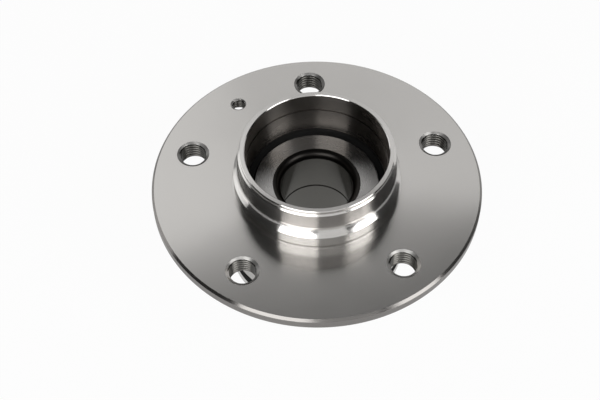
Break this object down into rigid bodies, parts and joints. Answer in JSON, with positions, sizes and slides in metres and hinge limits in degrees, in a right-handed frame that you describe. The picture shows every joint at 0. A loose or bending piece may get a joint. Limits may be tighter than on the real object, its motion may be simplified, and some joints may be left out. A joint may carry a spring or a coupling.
{
  "type": "wheel hub bearing",
  "caption": "Flanged wheel hub bearing with a hollow collar, threaded wheel bolt holes, double-row ball bearing, split inner rings, seals and an encoder ring on its boss.",
  "frame": {"origin": "centre of the wheel flange's wheel-side face, on the spin axis", "axes": "+Z along the spin axis towards the wheel, +Y through the centre of one wheel bolt hole"},
  "size_m": [0.1395, 0.1394, 0.0656],
  "materials": {
    "machined_steel": "fine turned, satin",
    "ground_steel": "ground, bright",
    "polished_balls": "lapped, mirror bright",
    "pressed_steel": "pressed sheet, satin",
    "cage_polyamide": "moulded, glass filled",
    "seal_rubber": "moulded, satin",
    "encoder_rubber": "moulded, satin"
  },
  "bodies": {
    "axle_side": {"outboard_inner_ring": "ground_steel", "outboard_slinger": "ground_steel", "inboard_inner_ring": "ground_steel", "inboard_slinger": "ground_steel"},
    "hub": {"hub": "machined_steel", "encoder_carrier": "pressed_steel", "encoder_band": "encoder_rubber", "outboard_seal_case": "pressed_steel", "outboard_seal_lips": "seal_rubber", "inboard_seal_case": "pressed_steel", "inboard_seal_lips": "seal_rubber"},
    "outboard_cage": {"outboard_cage": "cage_polyamide"},
    "outboard_ball_01": {"outboard_ball_01": "polished_balls"},
    "outboard_ball_02": {"outboard_ball_02": "polished_balls"},
    "outboard_ball_03": {"outboard_ball_03": "polished_balls"},
    "outboard_ball_04": {"outboard_ball_04": "polished_balls"},
    "outboard_ball_05": {"outboard_ball_05": "polished_balls"},
    "outboard_ball_06": {"outboard_ball_06": "polished_balls"},
    "outboard_ball_07": {"outboard_ball_07": "polished_balls"},
    "outboard_ball_08": {"outboard_ball_08": "polished_balls"},
    "outboard_ball_09": {"outboard_ball_09": "polished_balls"},
    "outboard_ball_10": {"outboard_ball_10": "polished_balls"},
    "outboard_ball_11": {"outboard_ball_11": "polished_balls"},
    "outboard_ball_12": {"outboard_ball_12": "polished_balls"},
    "outboard_ball_13": {"outboard_ball_13": "polished_balls"},
    "inboard_cage": {"inboard_cage": "cage_polyamide"},
    "inboard_ball_01": {"inboard_ball_01": "polished_balls"},
    "inboard_ball_02": {"inboard_ball_02": "polished_balls"},
    "inboard_ball_03": {"inboard_ball_03": "polished_balls"},
    "inboard_ball_04": {"inboard_ball_04": "polished_balls"},
    "inboard_ball_05": {"inboard_ball_05": "polished_balls"},
    "inboard_ball_06": {"inboard_ball_06": "polished_balls"},
    "inboard_ball_07": {"inboard_ball_07": "polished_balls"},
    "inboard_ball_08": {"inboard_ball_08": "polished_balls"},
    "inboard_ball_09": {"inboard_ball_09": "polished_balls"},
    "inboard_ball_10": {"inboard_ball_10": "polished_balls"},
    "inboard_ball_11": {"inboard_ball_11": "polished_balls"},
    "inboard_ball_12": {"inboard_ball_12": "polished_balls"},
    "inboard_ball_13": {"inboard_ball_13": "polished_balls"}
  },
  "joints": [
    {"name": "hub_spin", "type": "hinge", "parent": "axle_side", "child": "hub", "pos_m": [0, 0, -0.0238], "axis": [0, 0, 1], "continuous": true},
    {"name": "outboard_cage_turn", "type": "hinge", "parent": "axle_side", "child": "outboard_cage", "pos_m": [0, 0, -0.0148], "axis": [0, 0, 1], "continuous": true},
    {"name": "outboard_ball_01_roll", "type": "hinge", "parent": "outboard_cage", "child": "outboard_ball_01", "pos_m": [0, 0.0243, -0.0148], "axis": [0, 0.5736, 0.8192], "continuous": true},
    {"name": "outboard_ball_02_roll", "type": "hinge", "parent": "outboard_cage", "child": "outboard_ball_02", "pos_m": [-0.01129, 0.02152, -0.0148], "axis": [-0.2666, 0.5079, 0.8192], "continuous": true},
    {"name": "outboard_ball_03_roll", "type": "hinge", "parent": "outboard_cage", "child": "outboard_ball_03", "pos_m": [-0.02, 0.01381, -0.0148], "axis": [-0.472, 0.3258, 0.8192], "continuous": true},
    {"name": "outboard_ball_04_roll", "type": "hinge", "parent": "outboard_cage", "child": "outboard_ball_04", "pos_m": [-0.02413, 0.00293, -0.0148], "axis": [-0.5694, 0.0691, 0.8192], "continuous": true},
    {"name": "outboard_ball_05_roll", "type": "hinge", "parent": "outboard_cage", "child": "outboard_ball_05", "pos_m": [-0.02272, -0.00862, -0.0148], "axis": [-0.5363, -0.2034, 0.8192], "continuous": true},
    {"name": "outboard_ball_06_roll", "type": "hinge", "parent": "outboard_cage", "child": "outboard_ball_06", "pos_m": [-0.01612, -0.01819, -0.0148], "axis": [-0.3804, -0.4293, 0.8192], "continuous": true},
    {"name": "outboard_ball_07_roll", "type": "hinge", "parent": "outboard_cage", "child": "outboard_ball_07", "pos_m": [-0.00582, -0.0236, -0.0148], "axis": [-0.1373, -0.5569, 0.8192], "continuous": true},
    {"name": "outboard_ball_08_roll", "type": "hinge", "parent": "outboard_cage", "child": "outboard_ball_08", "pos_m": [0.00582, -0.0236, -0.0148], "axis": [0.1373, -0.5569, 0.8192], "continuous": true},
    {"name": "outboard_ball_09_roll", "type": "hinge", "parent": "outboard_cage", "child": "outboard_ball_09", "pos_m": [0.01612, -0.01819, -0.0148], "axis": [0.3804, -0.4293, 0.8192], "continuous": true},
    {"name": "outboard_ball_10_roll", "type": "hinge", "parent": "outboard_cage", "child": "outboard_ball_10", "pos_m": [0.02272, -0.00862, -0.0148], "axis": [0.5363, -0.2034, 0.8192], "continuous": true},
    {"name": "outboard_ball_11_roll", "type": "hinge", "parent": "outboard_cage", "child": "outboard_ball_11", "pos_m": [0.02413, 0.00293, -0.0148], "axis": [0.5694, 0.0691, 0.8192], "continuous": true},
    {"name": "outboard_ball_12_roll", "type": "hinge", "parent": "outboard_cage", "child": "outboard_ball_12", "pos_m": [0.02, 0.01381, -0.0148], "axis": [0.472, 0.3258, 0.8192], "continuous": true},
    {"name": "outboard_ball_13_roll", "type": "hinge", "parent": "outboard_cage", "child": "outboard_ball_13", "pos_m": [0.01129, 0.02152, -0.0148], "axis": [0.2666, 0.5079, 0.8192], "continuous": true},
    {"name": "inboard_cage_turn", "type": "hinge", "parent": "axle_side", "child": "inboard_cage", "pos_m": [0, 0, -0.0328], "axis": [0, 0, 1], "continuous": true},
    {"name": "inboard_ball_01_roll", "type": "hinge", "parent": "inboard_cage", "child": "inboard_ball_01", "pos_m": [-0.00582, 0.0236, -0.0328], "axis": [0.1373, -0.5569, 0.8192], "continuous": true},
    {"name": "inboard_ball_02_roll", "type": "hinge", "parent": "inboard_cage", "child": "inboard_ball_02", "pos_m": [-0.01612, 0.01819, -0.0328], "axis": [0.3804, -0.4293, 0.8192], "continuous": true},
    {"name": "inboard_ball_03_roll", "type": "hinge", "parent": "inboard_cage", "child": "inboard_ball_03", "pos_m": [-0.02272, 0.00862, -0.0328], "axis": [0.5363, -0.2034, 0.8192], "continuous": true},
    {"name": "inboard_ball_04_roll", "type": "hinge", "parent": "inboard_cage", "child": "inboard_ball_04", "pos_m": [-0.02413, -0.00293, -0.0328], "axis": [0.5694, 0.0691, 0.8192], "continuous": true},
    {"name": "inboard_ball_05_roll", "type": "hinge", "parent": "inboard_cage", "child": "inboard_ball_05", "pos_m": [-0.02, -0.01381, -0.0328], "axis": [0.472, 0.3258, 0.8192], "continuous": true},
    {"name": "inboard_ball_06_roll", "type": "hinge", "parent": "inboard_cage", "child": "inboard_ball_06", "pos_m": [-0.01129, -0.02152, -0.0328], "axis": [0.2666, 0.5079, 0.8192], "continuous": true},
    {"name": "inboard_ball_07_roll", "type": "hinge", "parent": "inboard_cage", "child": "inboard_ball_07", "pos_m": [0, -0.0243, -0.0328], "axis": [0, 0.5736, 0.8192], "continuous": true},
    {"name": "inboard_ball_08_roll", "type": "hinge", "parent": "inboard_cage", "child": "inboard_ball_08", "pos_m": [0.01129, -0.02152, -0.0328], "axis": [-0.2666, 0.5079, 0.8192], "continuous": true},
    {"name": "inboard_ball_09_roll", "type": "hinge", "parent": "inboard_cage", "child": "inboard_ball_09", "pos_m": [0.02, -0.01381, -0.0328], "axis": [-0.472, 0.3258, 0.8192], "continuous": true},
    {"name": "inboard_ball_10_roll", "type": "hinge", "parent": "inboard_cage", "child": "inboard_ball_10", "pos_m": [0.02413, -0.00293, -0.0328], "axis": [-0.5694, 0.0691, 0.8192], "continuous": true},
    {"name": "inboard_ball_11_roll", "type": "hinge", "parent": "inboard_cage", "child": "inboard_ball_11", "pos_m": [0.02272, 0.00862, -0.0328], "axis": [-0.5363, -0.2034, 0.8192], "continuous": true},
    {"name": "inboard_ball_12_roll", "type": "hinge", "parent": "inboard_cage", "child": "inboard_ball_12", "pos_m": [0.01612, 0.01819, -0.0328], "axis": [-0.3804, -0.4293, 0.8192], "continuous": true},
    {"name": "inboard_ball_13_roll", "type": "hinge", "parent": "inboard_cage", "child": "inboard_ball_13", "pos_m": [0.00582, 0.0236, -0.0328], "axis": [-0.1373, -0.5569, 0.8192], "continuous": true}
  ],
  "couplings": [
    {"joint": "outboard_cage_turn", "follows": "hub_spin", "ratio": 0.58026},
    {"joint": "outboard_ball_01_roll", "follows": "hub_spin", "ratio": 2.4858},
    {"joint": "outboard_ball_02_roll", "follows": "hub_spin", "ratio": 2.4858},
    {"joint": "outboard_ball_03_roll", "follows": "hub_spin", "ratio": 2.4858},
    {"joint": "outboard_ball_04_roll", "follows": "hub_spin", "ratio": 2.4858},
    {"joint": "outboard_ball_05_roll", "follows": "hub_spin", "ratio": 2.4858},
    {"joint": "outboard_ball_06_roll", "follows": "hub_spin", "ratio": 2.4858},
    {"joint": "outboard_ball_07_roll", "follows": "hub_spin", "ratio": 2.4858},
    {"joint": "outboard_ball_08_roll", "follows": "hub_spin", "ratio": 2.4858},
    {"joint": "outboard_ball_09_roll", "follows": "hub_spin", "ratio": 2.4858},
    {"joint": "outboard_ball_10_roll", "follows": "hub_spin", "ratio": 2.4858},
    {"joint": "outboard_ball_11_roll", "follows": "hub_spin", "ratio": 2.4858},
    {"joint": "outboard_ball_12_roll", "follows": "hub_spin", "ratio": 2.4858},
    {"joint": "outboard_ball_13_roll", "follows": "hub_spin", "ratio": 2.4858},
    {"joint": "inboard_cage_turn", "follows": "hub_spin", "ratio": 0.58026},
    {"joint": "inboard_ball_01_roll", "follows": "hub_spin", "ratio": 2.4858},
    {"joint": "inboard_ball_02_roll", "follows": "hub_spin", "ratio": 2.4858},
    {"joint": "inboard_ball_03_roll", "follows": "hub_spin", "ratio": 2.4858},
    {"joint": "inboard_ball_04_roll", "follows": "hub_spin", "ratio": 2.4858},
    {"joint": "inboard_ball_05_roll", "follows": "hub_spin", "ratio": 2.4858},
    {"joint": "inboard_ball_06_roll", "follows": "hub_spin", "ratio": 2.4858},
    {"joint": "inboard_ball_07_roll", "follows": "hub_spin", "ratio": 2.4858},
    {"joint": "inboard_ball_08_roll", "follows": "hub_spin", "ratio": 2.4858},
    {"joint": "inboard_ball_09_roll", "follows": "hub_spin", "ratio": 2.4858},
    {"joint": "inboard_ball_10_roll", "follows": "hub_spin", "ratio": 2.4858},
    {"joint": "inboard_ball_11_roll", "follows": "hub_spin", "ratio": 2.4858},
    {"joint": "inboard_ball_12_roll", "follows": "hub_spin", "ratio": 2.4858},
    {"joint": "inboard_ball_13_roll", "follows": "hub_spin", "ratio": 2.4858}
  ]
}
